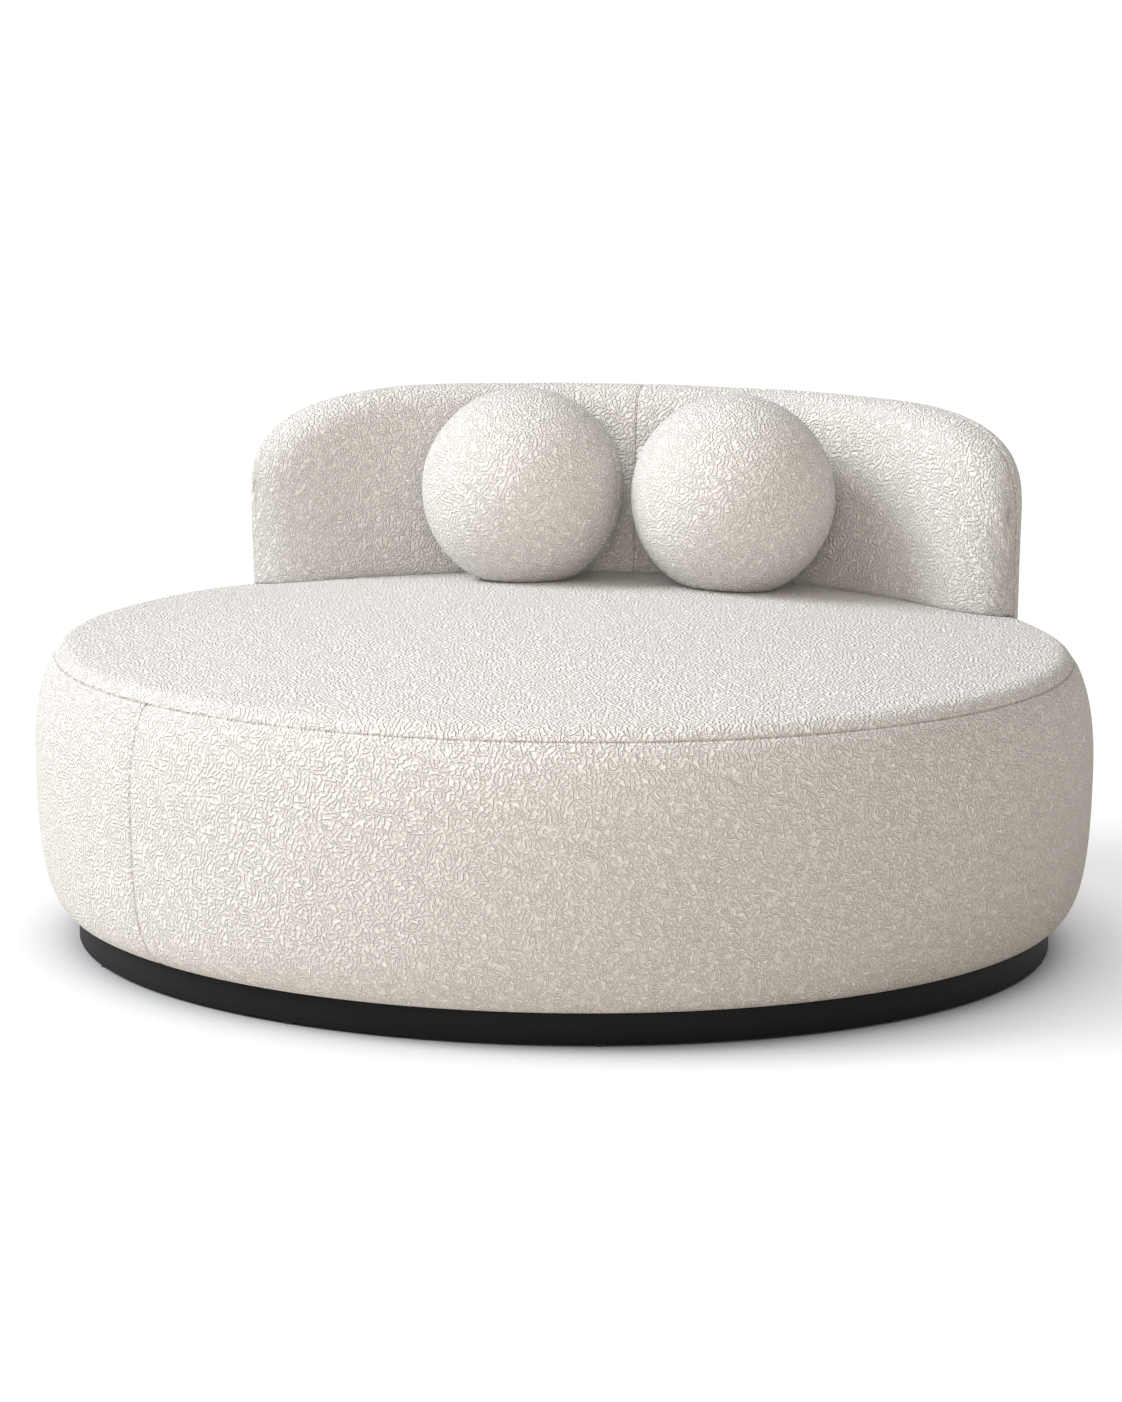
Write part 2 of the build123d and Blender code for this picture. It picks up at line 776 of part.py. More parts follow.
def make_back_foam():
    """Foam in front of the frame, behind it and rolled over its top."""
    foam = back_form(cover_thickness + fit_gap, back_foot_height) - drum(-fit_gap)
    space_low = post_shoulder_height - fit_gap
    space_high = panel_head_height
    space = oval_disc(frame_outer_depth - fit_gap, space_low, space_high)
    space -= leaning_disc(frame_front_inset - fit_gap, space_low - cut_overrun, space_high + cut_overrun)
    foam -= space & wide_sector(space_low, space_high)
    foam -= leg_slots(back_foot_height, post_shoulder_height + cut_overrun)
    top = foam & slab(panel_head_height, back_top_height)
    sides = foam & slab(back_foot_height, panel_head_height)
    inside = sided_disc(foam_joint_depth, 0, back_top_height)
    return {"back_front_foam": sides & inside, "back_rear_foam": sides - inside, "back_top_foam": top}


def make_back_cover():
    """Two inner panels that meet at a middle seam and wrap over the top, and one outer panel."""
    outside = back_form(0, back_skirt_height)
    shell = outside - back_form(cover_thickness, back_foot_height) - drum(-fit_gap)
    pinch_skin = outside - back_form(seam_pinch, back_foot_height)
    over_top = back_top_height + cut_overrun
    inside = sided_disc(back_seam_depth, 0, over_top)
    half_seam = seam_width / 2
    long_seam = sided_disc(back_seam_depth - half_seam, 0, over_top)
    long_seam -= sided_disc(back_seam_depth + half_seam, 0, over_top)
    middle_seam = Pos(0, 0, back_top_height) * Box(seam_width, whole_reach, whole_reach)
    shell -= pinch_skin & long_seam
    shell -= pinch_skin & inside & middle_seam
    inner = shell & inside
    right = Pos(whole_reach / 2, 0, 0) * Box(whole_reach, whole_reach, whole_reach * 2)
    return {
        "back_cover_inner_right": inner & right,
        "back_cover_inner_left": inner - right,
        "back_cover_outer": shell - inside,
    }


# Ball pillows


def seat_level(x, y):
    """Height of the crowned seat at a place."""
    reach = seat_half_width - shoulder_depth
    return shoulder_height + crown_rise(math.hypot(x / reach, y / (reach * squeeze)))


def pillow_centre(touch):
    """Where a ball lies that touches the leaning back at a distance from the middle and sinks into the seat."""
    level = shoulder_height + pillow_radius
    for _ in range(4):
        reach = pillow_radius / math.cos(math.radians(back_lean_degrees)) + pillow_gap
        depth = lean_depth(level)
        degrees = math.degrees(math.acos(touch / (seat_half_width - depth)))
        spot = (on_oval(degrees, depth, 0) * Pos(-reach, 0, 0)).position
        level = seat_level(spot.X, spot.Y) + pillow_radius - pillow_sink
    return (spot.X, spot.Y, level)


def ball(skin, gores, pieces):
    """A ball sewn from gores, each of flat pieces, a skin's thickness inside a pillow."""
    radius = pillow_radius - skin
    rings = []
    for piece in range(1, pieces):
        latitude = piece * 180 / pieces - 90
        reach = radius * cos_of(latitude)
        level = radius * sin_of(latitude)
        turns = [turn * 360 / gores for turn in range(gores)]
        rings.append([Vector(reach * cos_of(turn), reach * sin_of(turn), level) for turn in turns])
    return flat_sided(rings, Vector(0, 0, radius))


def make_pillow(side, touch):
    """A sewn ball cover round a ball of filling, both flattened where they lie on the seat."""
    place = Pos(*pillow_centre(touch))
    filling_skin = cover_thickness + fit_gap
    outer = place * ball(0, gore_count, gore_pieces) - drum(-pillow_gap)
    hollow = place * ball(cover_thickness, filling_gore_count, filling_gore_pieces)
    hollow -= drum(-pillow_gap - cover_thickness)
    filling = place * ball(filling_skin, filling_gore_count, filling_gore_pieces)
    filling -= drum(-pillow_gap - filling_skin)
    return {side + "_pillow_cover": outer - hollow, side + "_pillow_filling": filling}


def make_all():
    nodes = {
        "plinth_ring": make_plinth_ring(),
        "floor_glides": make_floor_glides(),
        "plinth_glue_blocks": make_glue_blocks(),
        "dust_cloth": make_dust_cloth(),
        "seat_base_board": make_base_board(),
        "seat_side_skin": make_side_skin(),
        "seat_deck_rim": make_deck_rim(),
    }
    nodes.update(make_plinth_braces())
    nodes.update(make_seat_ribs())
    nodes.update(make_webbing())
    nodes.update(make_seat_foam())
    nodes.update(make_seat_cover())
    nodes.update(make_back_posts())
    nodes.update(make_back_rails())
    nodes.update(make_back_panels())
    nodes["back_bolts"] = make_back_bolts()
    nodes.update(make_back_foam())
    nodes.update(make_back_cover())
    nodes.update(make_pillow("left", left_pillow_touch))
    nodes.update(make_pillow("right", right_pillow_touch))
    return nodes


def solids_in(shape):
    """The separate solids of a node made as one shape or as a list of shapes."""
    shapes = shape if isinstance(shape, list) else [shape]
    return [solid for piece in shapes for solid in piece.solids()]


os.makedirs("parts", exist_ok=True)
for node, shape in make_all().items():
    export_step(Compound(solids_in(shape)), f"parts/{node}.step")
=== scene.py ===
import math

import bmesh
import bpy
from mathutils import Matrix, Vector, geometry, noise
from mathutils.bvhtree import BVHTree


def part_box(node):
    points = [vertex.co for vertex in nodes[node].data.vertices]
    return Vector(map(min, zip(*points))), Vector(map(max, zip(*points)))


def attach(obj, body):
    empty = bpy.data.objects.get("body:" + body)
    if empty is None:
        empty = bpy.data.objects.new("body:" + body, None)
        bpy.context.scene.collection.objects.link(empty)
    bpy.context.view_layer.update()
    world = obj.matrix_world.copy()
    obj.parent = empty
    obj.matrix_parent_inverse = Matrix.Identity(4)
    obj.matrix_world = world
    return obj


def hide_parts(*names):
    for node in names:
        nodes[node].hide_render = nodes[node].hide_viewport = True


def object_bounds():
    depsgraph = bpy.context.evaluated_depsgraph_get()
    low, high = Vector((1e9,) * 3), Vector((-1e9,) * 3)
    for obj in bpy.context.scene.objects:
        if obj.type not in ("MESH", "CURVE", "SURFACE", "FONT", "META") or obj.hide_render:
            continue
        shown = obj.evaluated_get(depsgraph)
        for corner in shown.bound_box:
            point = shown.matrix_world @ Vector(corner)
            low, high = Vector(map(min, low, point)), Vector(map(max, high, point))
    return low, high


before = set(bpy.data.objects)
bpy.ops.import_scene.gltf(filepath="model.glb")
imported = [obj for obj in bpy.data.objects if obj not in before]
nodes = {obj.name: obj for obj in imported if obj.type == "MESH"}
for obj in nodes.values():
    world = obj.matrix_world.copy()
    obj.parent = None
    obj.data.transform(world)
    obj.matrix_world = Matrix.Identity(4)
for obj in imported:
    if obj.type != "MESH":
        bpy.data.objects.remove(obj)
cad_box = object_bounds()


# Plinth. A bent plywood ring faced with black-stained veneer, set back under the seat, on small
# moulded glides. Pine blocks and half-lapped braces stiffen it inside, where only the floor sees them.


def new_material(name, roughness):
    """A material with its shader, and the nodes and links to build on."""
    material = bpy.data.materials.new(name)
    material.use_nodes = True
    tree = material.node_tree
    shader = tree.nodes["Principled BSDF"]
    shader.inputs["Roughness"].default_value = roughness
    return material, tree, shader


def add_node(tree, kind, **settings):
    """A node with its properties and, by socket name, its values set."""
    node = tree.nodes.new(kind)
    for name, value in settings.items():
        if hasattr(node, name):
            setattr(node, name, value)
        else:
            node.inputs[name.replace("_", " ").title()].default_value = value
    return node


def add_group(tree, group, **values):
    node = tree.nodes.new("ShaderNodeGroup")
    node.node_tree = group
    for name, value in values.items():
        node.inputs[name.replace("_", " ").title()].default_value = value
    return node


def new_group(name, inputs, outputs):
    """A node group with float inputs and the named outputs, and its two end nodes."""
    group = bpy.data.node_groups.new(name, "ShaderNodeTree")
    for label, value in inputs:
        kind = "NodeSocketColor" if isinstance(value, tuple) else "NodeSocketFloat"
        group.interface.new_socket(label, in_out="INPUT", socket_type=kind).default_value = value
    for label, kind in outputs:
        group.interface.new_socket(label, in_out="OUTPUT", socket_type=kind)
    return group, group.nodes.new("NodeGroupInput"), group.nodes.new("NodeGroupOutput")


def math_node(tree, operation, first, second=0.0, third=0.0):
    """One sum. Each term is a number or another node's output."""
    node = tree.nodes.new("ShaderNodeMath")
    node.operation = operation
    for socket, term in zip(node.inputs, (first, second, third)):
        if isinstance(term, (int, float)):
            socket.default_value = term
        else:
            tree.links.new(term, socket)
    return node.outputs[0]


def object_place(tree):
    return tree.nodes.new("ShaderNodeTexCoord").outputs["Object"]


# Wood grain: long streaks along one way of the board, and fine pores between them.
wood_grain, grain_in, grain_out = new_group(
    "wood_grain",
    [("Across", 260.0), ("Along", 6.0), ("Light", (0.7, 0.54, 0.37, 1)), ("Dark", (0.5, 0.35, 0.2, 1))],
    [("Color", "NodeSocketColor"), ("Height", "NodeSocketFloat")],
)
grain_place = object_place(wood_grain)
grain_stretch = wood_grain.nodes.new("ShaderNodeCombineXYZ")
wood_grain.links.new(grain_in.outputs["Along"], grain_stretch.inputs["X"])
wood_grain.links.new(grain_in.outputs["Along"], grain_stretch.inputs["Y"])
wood_grain.links.new(grain_in.outputs["Across"], grain_stretch.inputs["Z"])
grain_scaled = add_node(wood_grain, "ShaderNodeVectorMath", operation="MULTIPLY")
wood_grain.links.new(grain_place, grain_scaled.inputs[0])
wood_grain.links.new(grain_stretch.outputs[0], grain_scaled.inputs[1])
streaks = add_node(
    wood_grain, "ShaderNodeTexNoise", scale=1.0, detail=5.0, roughness=0.6, distortion=0.4
)
pores = add_node(wood_grain, "ShaderNodeTexNoise", scale=4.5, detail=2.0, roughness=0.5)
wood_grain.links.new(grain_scaled.outputs[0], streaks.inputs["Vector"])
wood_grain.links.new(grain_scaled.outputs[0], pores.inputs["Vector"])
pore_mask = math_node(wood_grain, "GREATER_THAN", pores.outputs["Fac"], 0.58)
pore_depth = math_node(wood_grain, "MULTIPLY", pore_mask, 0.35)
grain_height = math_node(wood_grain, "SUBTRACT", streaks.outputs["Fac"], pore_depth)
grain_colour = wood_grain.nodes.new("ShaderNodeMix")
grain_colour.data_type = "RGBA"
wood_grain.links.new(grain_height, grain_colour.inputs["Factor"])
wood_grain.links.new(grain_in.outputs["Dark"], grain_colour.inputs[6])
wood_grain.links.new(grain_in.outputs["Light"], grain_colour.inputs[7])
wood_grain.links.new(grain_colour.outputs[2], grain_out.inputs["Color"])
wood_grain.links.new(grain_height, grain_out.inputs["Height"])


def wood_material(name, light, dark, roughness, across=260.0, along=6.0, depth=0.0002):
    material, tree, shader = new_material(name, roughness)
    grain = add_group(tree, wood_grain, across=across, along=along, light=(*light, 1), dark=(*dark, 1))
    bump = add_node(tree, "ShaderNodeBump", strength=0.5, distance=depth)
    tree.links.new(grain.outputs["Color"], shader.inputs["Base Color"])
    tree.links.new(grain.outputs["Height"], bump.inputs["Height"])
    tree.links.new(bump.outputs["Normal"], shader.inputs["Normal"])
    return material


stain_light = (0.0078, 0.0074, 0.0073)
stain_dark = (0.0028, 0.0026, 0.0026)
black_veneer = wood_material("black_stained_veneer", stain_light, stain_dark, 0.65)
veneer_shader = black_veneer.node_tree.nodes["Principled BSDF"]
veneer_shader.inputs["Specular IOR Level"].default_value = 0.22
pine = wood_material("planed_pine", (0.62, 0.44, 0.25), (0.42, 0.25, 0.12), 0.6)

glide_plastic, glide_tree, glide_shader = new_material("glide_plastic", 0.5)
glide_shader.inputs["Base Color"].default_value = (0.02, 0.02, 0.02, 1)
glide_speckle = add_node(glide_tree, "ShaderNodeTexNoise", scale=900.0, detail=2.0)
glide_bump = add_node(glide_tree, "ShaderNodeBump", strength=0.3, distance=0.0002)
glide_tree.links.new(object_place(glide_tree), glide_speckle.inputs["Vector"])
glide_tree.links.new(glide_speckle.outputs["Fac"], glide_bump.inputs["Height"])
glide_tree.links.new(glide_bump.outputs["Normal"], glide_shader.inputs["Normal"])


def finish_nodes(material, slot, *names):
    """Gives CAD nodes that stay in sight or inside their material. The slot is not used."""
    for name in names:
        node = nodes[name]
        node.data.materials.clear()
        node.data.materials.append(material)


finish_nodes(glide_plastic, "glide_plastic", "floor_glides")
finish_nodes(
    pine, "pine", "plinth_glue_blocks", "plinth_long_brace", "plinth_cross_brace_left",
    "plinth_cross_brace_right",
)

plinth_low, plinth_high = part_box("plinth_ring")
plinth_wall = 0.022
plinth_edge = 0.0012


def new_piece(name, mesh_maker, material, body):
    """A piece of the object from a bmesh, smooth, with its material, riding on a body."""
    mesh = bpy.data.meshes.new(name)
    mesh_maker.to_mesh(mesh)
    mesh_maker.free()
    for face in mesh.polygons:
        face.use_smooth = True
    mesh.materials.append(material)
    piece = bpy.data.objects.new(name, mesh)
    bpy.context.scene.collection.objects.link(piece)
    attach(piece, body)
    return piece


def add_line(shape, points, closed=False):
    """Vertices at points, joined by edges in order."""
    corners = [shape.verts.new(point) for point in points]
    for start, end in zip(corners, corners[1:]):
        shape.edges.new((start, end))
    if closed:
        shape.edges.new((corners[-1], corners[0]))
    return corners


plinth = bmesh.new()
add_line(
    plinth,
    [
        (plinth_high.x, 0, plinth_low.z),
        (plinth_high.x, 0, plinth_high.z),
        (plinth_high.x - plinth_wall, 0, plinth_high.z),
        (plinth_high.x - plinth_wall, 0, plinth_low.z),
    ],
    closed=True,
)
bmesh.ops.spin(
    plinth, geom=plinth.verts[:] + plinth.edges[:], cent=(0, 0, 0), axis=(0, 0, 1),
    angle=math.tau, steps=180, use_merge=True,
)
for corner in plinth.verts:
    reach = math.hypot(corner.co.x, corner.co.y)
    inset = plinth_high.x - reach
    corner.co.y *= (plinth_high.y - inset) / reach
bmesh.ops.recalc_face_normals(plinth, faces=plinth.faces)
rims = [edge for edge in plinth.edges if edge.calc_face_angle(0) > 1]
bmesh.ops.bevel(
    plinth, geom=rims, offset=plinth_edge, segments=2, profile=0.5, affect="EDGES", material=-1
)
plinth_piece = new_piece("plinth_veneered_ring", plinth, black_veneer, "daybed")
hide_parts("plinth_ring")


# Dust cloth. A thin black non-woven sheet stapled under the seat's board, inside the plinth. It
# keeps dust in and is pressed from short felted fibres.

dust_fabric, dust_tree, dust_shader = new_material("dust_cloth", 0.95)
dust_fibres = add_node(dust_tree, "ShaderNodeTexNoise", scale=1400.0, detail=3.0, roughness=0.7)
dust_colour = add_node(dust_tree, "ShaderNodeValToRGB")
dust_colour.color_ramp.elements[0].color = (0.012, 0.012, 0.012, 1)
dust_colour.color_ramp.elements[1].color = (0.035, 0.034, 0.033, 1)
dust_bump = add_node(dust_tree, "ShaderNodeBump", strength=0.5, distance=0.0004)
dust_tree.links.new(object_place(dust_tree), dust_fibres.inputs["Vector"])
dust_tree.links.new(dust_fibres.outputs["Fac"], dust_colour.inputs["Fac"])
dust_tree.links.new(dust_fibres.outputs["Fac"], dust_bump.inputs["Height"])
dust_tree.links.new(dust_colour.outputs["Color"], dust_shader.inputs["Base Color"])
dust_tree.links.new(dust_bump.outputs["Normal"], dust_shader.inputs["Normal"])
finish_nodes(dust_fabric, "dust_cloth_fabric", "dust_cloth")


# Seat. Foam wrapped in cream crinkled bouclé: one crowned top panel and two side bands, joined by a
# pressed seam round the rim and by upright seams at the left front and right rear.

boucle, boucle_in, boucle_out = new_group(
    "crinkled_boucle",
    [("Crinkle", 1.0), ("Pile", 1.0)],
    [("Height", "NodeSocketFloat"), ("Shade", "NodeSocketFloat")],
)
cloth_place = boucle.nodes.new("ShaderNodeUVMap")
cloth_place.uv_map = "cloth_laid_flat"
drift = add_node(
    boucle, "ShaderNodeTexNoise", noise_dimensions="2D", scale=60.0, detail=1.0, roughness=0.5
)
boucle.links.new(cloth_place.outputs["UV"], drift.inputs["Vector"])
drift_centred = add_node(boucle, "ShaderNodeVectorMath", operation="SUBTRACT")
boucle.links.new(drift.outputs["Color"], drift_centred.inputs[0])
drift_centred.inputs[1].default_value = (0.5, 0.5, 0.5)
drift_scaled = add_node(boucle, "ShaderNodeVectorMath", operation="SCALE")
boucle.links.new(drift_centred.outputs[0], drift_scaled.inputs[0])
drift_scaled.inputs["Scale"].default_value = 0.010
drifted = add_node(boucle, "ShaderNodeVectorMath", operation="ADD")
boucle.links.new(cloth_place.outputs["UV"], drifted.inputs[0])
boucle.links.new(drift_scaled.outputs[0], drifted.inputs[1])
crinkle = boucle.nodes.new("ShaderNodeTexGabor")
crinkle.gabor_type = "2D"
crinkle.inputs["Scale"].default_value = 80.0
crinkle.inputs["Frequency"].default_value = 2.0
crinkle.inputs["Anisotropy"].default_value = 0.15
crinkle.inputs["Orientation"].default_value = math.radians(25)
boucle.links.new(drifted.outputs[0], crinkle.inputs["Vector"])
ridge = add_node(boucle, "ShaderNodeMapRange", interpolation_type="SMOOTHSTEP")
ridge.inputs["From Min"].default_value = 0.36
ridge.inputs["From Max"].default_value = 0.66
boucle.links.new(crinkle.outputs["Value"], ridge.inputs["Value"])
pile = add_node(boucle, "ShaderNodeTexNoise", scale=620.0, detail=1.0, roughness=0.6)
boucle.links.new(object_place(boucle), pile.inputs["Vector"])
crinkled = math_node(boucle, "MULTIPLY", ridge.outputs["Result"], boucle_in.outputs["Crinkle"])
pile_height = math_node(boucle, "MULTIPLY", boucle_in.outputs["Pile"], 0.45)
piled = math_node(boucle, "MULTIPLY", pile.outputs["Fac"], pile_height)
boucle.links.new(math_node(boucle, "ADD", crinkled, piled), boucle_out.inputs["Height"])
# Shade: the crinkle's grooves darker than its crests, partly the cloth's own tone and partly painted
# shade in the grooves; the fine pile adds random tone.
pile_shade = math_node(boucle, "MULTIPLY", pile.outputs["Fac"], 0.4)
cloth_shade = math_node(boucle, "MULTIPLY_ADD", ridge.outputs["Result"], 0.6, pile_shade)
boucle.links.new(cloth_shade, boucle_out.inputs["Shade"])


def boucle_material(name, crinkle, pile_share):
    material, tree, shader = new_material(name, 0.92)
    cloth = add_group(tree, boucle, crinkle=crinkle, pile=pile_share)
    # Groove colour to crest colour: the darker groove end is partly painted shade in the grooves.
    tone_and_groove_shade = add_node(tree, "ShaderNodeValToRGB")
    tone_and_groove_shade.color_ramp.elements[0].color = (0.73, 0.69, 0.648, 1)
    tone_and_groove_shade.color_ramp.elements[1].color = (0.99, 0.984, 0.978, 1)
    bump = add_node(tree, "ShaderNodeBump", strength=1.0, distance=0.0035)
    tree.links.new(cloth.outputs["Shade"], tone_and_groove_shade.inputs["Fac"])
    tree.links.new(cloth.outputs["Height"], bump.inputs["Height"])
    # The seam attribute darkens the cloth along the pressed seams to a warm brown: painted shade in the
    # seams' creases.
    seam = add_node(tree, "ShaderNodeAttribute", attribute_name="seam")
    dark = tree.nodes.new("ShaderNodeMix")
    dark.data_type = "RGBA"
    tree.links.new(seam.outputs["Fac"], dark.inputs["Factor"])
    tree.links.new(tone_and_groove_shade.outputs["Color"], dark.inputs[6])
    dark.inputs[7].default_value = (0.42, 0.37, 0.32, 1)
    tree.links.new(dark.outputs[2], shader.inputs["Base Color"])
    tree.links.new(bump.outputs["Normal"], shader.inputs["Normal"])
    shader.inputs["Sheen Weight"].default_value = 0.15
    shader.inputs["Sheen Roughness"].default_value = 0.6
    return material


cream_boucle = boucle_material("cream_boucle", 1.0, 1.0)

seat_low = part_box("seat_cover_front_band")[0]
seat_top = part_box("seat_cover_top")[1].z
seat_reach = -cad_box[0].x
seat_squeeze = -cad_box[0].y / seat_reach
belly_height = 0.270
shoulder_height = 0.4256
shoulder_depth = 0.054
tuck_depth = 0.066
seam_height = 0.407
shoulder_pull = 0.575
tuck_pull = 0.745


def on_curve(start, start_pull, end_pull, end, count):
    """Points along one curve in the XZ plane, from its ends and pulls."""
    ends = [Vector((x, 0, z)) for x, z in (start, start_pull, end_pull, end)]
    return geometry.interpolate_bezier(*ends, count)


shoulder = seat_reach - shoulder_depth
crown = seat_top - shoulder_height
slope = math.atan(2 * crown / shoulder)
roll_pull = shoulder_pull * shoulder_depth
foot = seat_reach - tuck_depth
seat_side = on_curve(
    (foot, seat_low.z),
    (foot + tuck_pull * tuck_depth, seat_low.z),
    (seat_reach, belly_height - tuck_pull * (belly_height - seat_low.z)),
    (seat_reach, belly_height),
    18,
)
seat_side += on_curve(
    (seat_reach, belly_height),
    (seat_reach, belly_height + shoulder_pull * (shoulder_height - belly_height)),
    (shoulder + roll_pull * math.cos(slope), shoulder_height - roll_pull * math.sin(slope)),
    (shoulder, shoulder_height),
    16,
)[1:]
crown_rings = 20
for ring in range(1, crown_rings + 1):
    share = 1 - ring / crown_rings
    seat_side.append(Vector((share * shoulder, 0, shoulder_height + crown * (1 - share**2))))
hem_depth = 0.115
seat_side.insert(0, Vector((seat_reach - hem_depth, 0, seat_low.z)))

seat = bmesh.new()
add_line(seat, seat_side)
bmesh.ops.spin(
    seat, geom=seat.verts[:] + seat.edges[:], cent=(0, 0, 0), axis=(0, 0, 1),
    angle=math.tau, steps=240, use_merge=True,
)
bmesh.ops.remove_doubles(seat, verts=seat.verts, dist=0.00001)
bmesh.ops.scale(seat, vec=(1, seat_squeeze, 1), verts=seat.verts)
bmesh.ops.recalc_face_normals(seat, faces=seat.faces)

# The cloth lies flat in its own map, in metres, so the crinkle breaks at the seams as real cloth does.
side_seam_turn = math.radians(53.5)
cloth_lengths = [0.0]
for point, following in zip(seat_side, seat_side[1:]):
    cloth_lengths.append(cloth_lengths[-1] + (following - point).length)
cloth_length_at = {
    round(point.z, 6): length for point, length in zip(seat_side[2:], cloth_lengths[2:])
}
seat_cloth = seat.loops.layers.uv.new("cloth_laid_flat")
mean_reach = seat_reach * (1 + seat_squeeze) / 2
for face in seat.faces:
    middle = face.calc_center_median()
    face_turn = (math.atan2(middle.y / seat_squeeze, middle.x) - side_seam_turn) % math.tau
    for loop in face.loops:
        place = loop.vert.co
        reach = math.hypot(place.x, place.y / seat_squeeze)
        length = cloth_length_at.get(round(place.z, 6), 0.0)
        if middle.z > seam_height:
            spread = (cloth_lengths[-1] - length) / max(reach, 0.0001)
            loop[seat_cloth].uv = (place.x * spread, place.y * spread)
        else:
            turn = (math.atan2(place.y / seat_squeeze, place.x) - side_seam_turn) % math.tau
            turn += math.tau * round((face_turn - turn) / math.tau)
            loop[seat_cloth].uv = (turn * mean_reach, length)

seam_rows = (-0.012, -0.006, -0.003, -0.0014, -0.0005, 0.0, 0.0005, 0.0014, 0.003, 0.006, 0.012)
seam_press = 0.0012
seam_groove = 0.0020
press_width = 0.007
groove_width = 0.0012
crease_shade_width = 0.0009
seam_side_band = 0.03
band_inner_reach = 0.55


def press_seam(shape, middle, normal, keep, distance_to, crease_shade=0.6):
    """Cuts rows of edges beside a seam's plane where keep says, presses the cloth in along them, and
    stores painted shade along the crease in the seam attribute.
    """
    for row in seam_rows:
        faces = [face for face in shape.faces if keep(face.calc_center_median())]
        edges = {edge for face in faces for edge in face.edges}
        corners = {corner for face in faces for corner in face.verts}
        bmesh.ops.bisect_plane(
            shape, geom=faces + list(edges) + list(corners),
            plane_co=middle + row * normal, plane_no=normal,
        )
    shape.normal_update()
    seam_shade_layer = shape.verts.layers.float.get("seam") or shape.verts.layers.float.new("seam")
    presses = []
    for corner in shape.verts:
        if keep(corner.co):
            away = abs(distance_to(corner.co))
            depth = seam_press * math.exp(-((away / press_width) ** 2))
            depth += seam_groove * math.exp(-((away / groove_width) ** 2))
            presses.append((corner, corner.normal.copy(), depth))
            # Painted shade along the seam's crease, darkest at its middle.
            shade = crease_shade * math.exp(-((away / crease_shade_width) ** 2))
            corner[seam_shade_layer] = max(corner[seam_shade_layer], shade)
    for corner, outwards, depth in presses:
        corner.co -= depth * outwards


ring_middle = Vector((0, 0, seam_height))
up = Vector((0, 0, 1))
press_seam(
    seat, ring_middle, up,
    lambda place: (
        abs(place.z - seam_height) < seam_side_band
        and math.hypot(place.x, place.y / seat_squeeze) > shoulder
    ),
    lambda place: place.z - seam_height,
)
side_seam_crease_shade = 0.22
seam_along = Vector((math.cos(side_seam_turn), seat_squeeze * math.sin(side_seam_turn), 0)).normalized()
seam_across = Vector((-seam_along.y, seam_along.x, 0))
press_seam(
    seat, Vector((0, 0, 0)), seam_across,
    lambda place: (
        place.z < seam_height
        and abs(place.dot(seam_across)) < seam_side_band
        and math.hypot(place.x, place.y) > band_inner_reach
    ),
    lambda place: place.dot(seam_across),
    crease_shade=side_seam_crease_shade,
)


def soften(shape, keep, amount, size):
    """Slow swells of hand-laid upholstery, along the normals."""
    shape.normal_update()
    moves = [
        (corner, amount * noise.noise(corner.co / size) * corner.normal.copy())
        for corner in shape.verts if keep(corner.co)
    ]
    for corner, move in moves:
        corner.co += move


soften(seat, lambda place: place.z > seat_low.z + 0.01, 0.0014, 0.16)
seat_surface = BVHTree.FromBMesh(seat)
seat_piece = new_piece("seat_upholstery", seat, cream_boucle, "daybed")
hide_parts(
    "seat_cover_top", "seat_cover_front_band", "seat_cover_rear_band",
    "seat_side_foam", "seat_foam_core", "seat_foam_topper",
)


def seat_level(x, y, fallback):
    """Height of the seat's cloth under a place, or the fallback where the seat doesn't reach."""
    hit = seat_surface.ray_cast(Vector((x, y, 1.0)), Vector((0, 0, -1)))[0]
    return fallback if hit is None else hit.z


# Back. Foam on a bent plywood frame, wrapped in the same cloth: two inner panels meet at a middle
# seam and roll over the top, and one outer panel is sewn to them along the top and down both ends.

back_low = 0.336
back_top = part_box("back_cover_outer")[1].z
back_depth = 0.1367
back_lean = math.tan(math.radians(5.34))
back_tip = math.radians(56.2)
nose_length = 0.142
corner_length = 0.298
corner_drop = 0.1515
corner_power = 2.3
roll_share = 0.55
edge_share = 0.709
back_seam_depth = 0.040
middle_seam_left = 0.0365
back_steps = 110


def inner_depth(height):
    return back_depth - back_lean * (height - shoulder_height)


def back_half_run(steps=60):
    """Length along the middle of the back, from one tip to the middle seam."""
    wide = seat_reach - back_depth / 2
    deep = seat_reach * seat_squeeze - back_depth / 2
    turns = [math.pi / 2 - back_tip * (step + 0.5) / steps for step in range(steps)]
    paces = [math.hypot(wide * math.sin(turn), deep * math.cos(turn)) for turn in turns]
    return sum(paces) * back_tip / steps


top_thickness = inner_depth(back_top)
roll = roll_share * top_thickness
roll_level = back_top - roll
ridge = inner_depth(roll_level) / 2
half_run = back_half_run()

# The section is drawn upright with its depth along Y, then drawn out along X into a straight bolster.
outer_roll = on_curve(
    (0, roll_level),
    (0, roll_level + edge_share * roll),
    (ridge * (1 - edge_share), back_top),
    (ridge, back_top),
    12,
)
inner_roll = on_curve(
    (ridge, back_top),
    (ridge + edge_share * (inner_depth(roll_level) - ridge), back_top),
    (inner_depth(roll_level) - back_lean * edge_share * roll, roll_level + edge_share * roll),
    (inner_depth(roll_level), roll_level),
    12,
)
wall_rows = 12
wall_rise = (roll_level - back_low) / wall_rows
section = [Vector((0, 0, back_low + wall_rise * row)) for row in range(wall_rows)]
section += outer_roll + inner_roll[1:]
for row in range(1, wall_rows + 1):
    height = roll_level - wall_rise * row
    section.append(Vector((inner_depth(height), 0, height)))
section = [Vector((-half_run, point.x, point.z)) for point in section]

